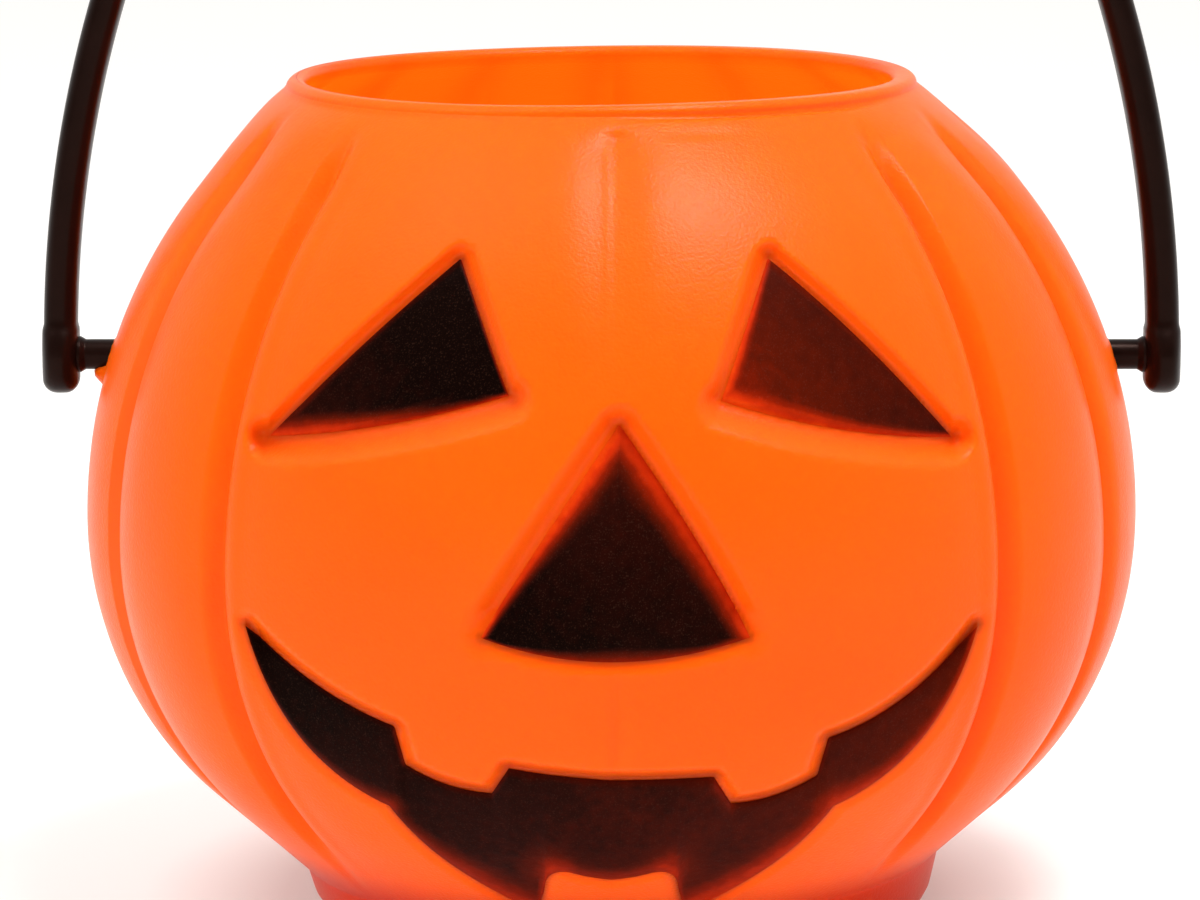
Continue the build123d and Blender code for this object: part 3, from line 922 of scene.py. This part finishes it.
def strap_rings():
    """Superellipse carried along the handle's line, from the foot of one boss to the foot of the other.

    Its half width is the boss's circle near a pin, blended with the strap's by a power mean, and its half
    thickness falls off round the boss's lower edge as a circle does. Rings crowd on the bosses.
    """
    half = handle_line()
    line = np.concatenate([half, (half * [-1, 1])[-2::-1]])
    reach = np.concatenate([[0], np.cumsum(np.linalg.norm(np.diff(line, axis=0), axis=1))])

    def from_end(along):
        """Length along the line from its nearer end."""
        return np.minimum(along, reach[-1] - along)

    def ring_density(along):
        """Blunt bell curve of the length from an end, on top of 1."""
        return 1 + bell(from_end(along), size=7, width=14, power=4)

    along = crowded(0, reach[-1], STRAP_RINGS, ring_density)
    centre = np.stack([np.interp(along, reach, line[:, k]) for k in (0, 1)], 1)
    heading = np.gradient(centre, along, axis=0)
    heading /= np.linalg.norm(heading, axis=1)[:, None]
    up = from_end(along) - BOSS_RADIUS
    disc = np.sqrt(np.clip(BOSS_RADIUS**2 - up**2, 0, None))
    strap_width = STRAP_HALF_WIDTH * smooth_step(*STRAP_START, up)
    width = ((disc**BOSS_BLEND + strap_width**BOSS_BLEND) ** (1 / BOSS_BLEND))[:, None]
    edge = np.clip(np.abs(up) - (BOSS_RADIUS - BOSS_ROUND), 0, BOSS_ROUND)
    boss = BOSS_HALF_THICKNESS - BOSS_ROUND + np.sqrt(BOSS_ROUND**2 - edge**2)
    thickness = np.where(up < 0, boss, np.maximum(boss, STRAP_HALF_THICKNESS))[:, None]
    turns = np.linspace(0, 2 * np.pi, RING_POINTS + 1)[:-1]
    across = thickness * blunt(np.cos(turns))
    return np.stack([
        centre[:, :1] + heading[:, 1:] * across,
        width * blunt(np.sin(turns)),
        centre[:, 1:] - heading[:, :1] * across,
    ], -1)


PIN_RADIUS = 3.1
PIN_HEAD_FACE = 98.2
PIN_HEAD_RADIUS = 4.3
PIN_HEAD_TIP = 92.7
PIN_TIP_RADIUS = 2.6
PIN_POINTS = 40
ROOT_DEPTH = 2.0
ROOT_FLARE = 0.9
FLARE_LIP = 0.6
FLARE_LIP_OUT = 0.4
FLARE_END_OUT = 1.4
PIN_ROUNDS = (0.4, 0.5, 0.6, 0.2, 0.4, 0.7)


def pin_rings(side):
    """Pin turned about its own line along X: a flared root in the boss, a round shank and a snap head."""
    root = handle_half_width - BOSS_HALF_THICKNESS
    shape = rounded_line(
        [
            (root + ROOT_DEPTH, 0),
            (root + ROOT_DEPTH, PIN_RADIUS + ROOT_FLARE),
            (root - FLARE_LIP_OUT, PIN_RADIUS + FLARE_LIP),
            (root - FLARE_END_OUT, PIN_RADIUS),
            (PIN_HEAD_FACE, PIN_RADIUS),
            (PIN_HEAD_FACE, PIN_HEAD_RADIUS),
            (PIN_HEAD_TIP, PIN_TIP_RADIUS),
            (PIN_HEAD_TIP, 0),
        ],
        PIN_ROUNDS,
    )
    turns = np.linspace(0, 2 * np.pi, PIN_POINTS + 1)[:-1] * -side
    x = side * shape[:, :1] + 0 * turns
    return np.stack([x, shape[:, 1:] * np.cos(turns), PIN_HEIGHT + shape[:, 1:] * np.sin(turns)], -1)


HANDLE_BLACK = (0.004, 0.0015, 0.001)
SCUFFED_BLACK = (0.010, 0.004, 0.003)
black = Finish("glossy_black_plastic", Specular_IOR_Level=0.10, Specular_Tint=(1, 0.6, 0.5))
scuffs = black.noise(scale=160, detail=4.0)
black.feed(
    Base_Color=black.mix(scuffs, HANDLE_BLACK, SCUFFED_BLACK),
    Roughness=0.24 + scuffs * 0.16,
)
black.bump(black.noise(scale=900), depth=0.00003)
strap = closed_skin("bail_handle", strap_rings())
black.paint(strap, "black_plastic", "handle")
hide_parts("handle")
for side, name in ((1, "right_pin"), (-1, "left_pin")):
    black.paint(closed_skin(name, pin_rings(side)), "black_plastic", "handle")

# Studio: a pale floor that runs out past the picture and is darker under the pail, white surroundings that
# are dim on the camera's side, and three soft lights. None of this is part of the pail, and from here on
# sizes are in metres.
FLOOR_REACH = 8.0
SHADE_START = 0.068
SHADE_END = 0.098
PAPER = (0.50, 0.495, 0.485)
SHADED_PAPER = (0.34, 0.29, 0.27)
LIT_PAPER = (0.58, 0.57, 0.555)
ROOM_WHITE = (1.0, 0.99, 0.975)
floor_mesh = bpy.data.meshes.new("floor")
floor_corners = np.array([(-1, -1, 0), (1, -1, 0), (1, 1, 0), (-1, 1, 0)]) * FLOOR_REACH
floor_mesh.from_pydata(floor_corners.tolist(), [], [(0, 1, 2, 3)])
floor = bpy.data.objects.new("floor", floor_mesh)
bpy.context.scene.collection.objects.link(floor)
paper = Finish("pale_paper", Base_Color=PAPER, Roughness=0.9, Emission_Strength=1.0)
floor_place = paper.node("ShaderNodeTexCoord", output="Object")
from_pail = paper.node("ShaderNodeVectorMath", {"operation": "LENGTH"}, {0: floor_place}, "Value")
clear = paper.rise(from_pail, low=SHADE_START, high=SHADE_END)
paper.feed(Emission_Color=paper.mix(clear, SHADED_PAPER, LIT_PAPER))
floor_mesh.materials.append(paper.material)

world = bpy.data.worlds.new("white_room")
bpy.context.scene.world = world
room = Nodes(world)
sight = room.node("ShaderNodeTexCoord", output="Generated")
room_light = room.node("ShaderNodeMapRange", {"interpolation_type": "SMOOTHSTEP"}, {
    "Value": room.node("ShaderNodeSeparateXYZ", {}, {"Vector": sight}, "Y"),
    "From Min": -0.9,
    "From Max": -0.1,
    "To Min": 0.02,
    "To Max": 0.85,
})
room.set(room.tree.nodes["Background"], {"Color": ROOM_WHITE, "Strength": room_light})
LIGHT_AIM = np.array([0, 0, 0.1])


def soft_light(name, place, size, power):
    """Square area light of a size in metres, at a place, turned to face the pail."""
    light = bpy.data.lights.new(name, "AREA")
    light.size = size
    light.energy = power
    lamp = bpy.data.objects.new(name, light)
    lamp.location = place
    x, y, z = LIGHT_AIM - place
    lamp.rotation_euler = (math.pi / 2 + math.atan2(z, math.hypot(x, y)), 0, math.atan2(-x, y))
    bpy.context.scene.collection.objects.link(lamp)
    return lamp


soft_light("overhead_softbox", place=(0.38, -0.34, 1.55), size=0.45, power=20)
soft_light("left_softbox", place=(-0.75, -0.35, 1.55), size=0.8, power=4)
front_fill = soft_light("front_fill", place=(-1.0, -2.4, 1.0), size=1.6, power=31)
front_fill.visible_glossy = False

# Camera: a long lens a metre in front of the face, a little above the rim and tipped down on the pail. Its
# sensor is in millimetres, and its focal length and the sideways shift of its axis are in pixels of the
# 1200 pixel wide picture.
CAMERA_PLACE = (0.0, -1.0, 0.2722)
CAMERA_PITCH = math.radians(10.13)
SENSOR_WIDTH = 36.0
PHOTO_WIDTH = 1200
FOCAL_PIXELS = 4916
AXIS_OFFSET_PIXELS = 11.5
lens = bpy.data.cameras.new("camera")
lens.sensor_width = SENSOR_WIDTH
lens.lens = FOCAL_PIXELS / PHOTO_WIDTH * SENSOR_WIDTH
lens.shift_x = -AXIS_OFFSET_PIXELS / PHOTO_WIDTH
camera = bpy.data.objects.new("camera", lens)
camera.location = CAMERA_PLACE
camera.rotation_euler = (math.pi / 2 - CAMERA_PITCH, 0, 0)
bpy.context.scene.collection.objects.link(camera)
bpy.context.scene.camera = camera
bpy.context.scene.view_settings.view_transform = "Standard"
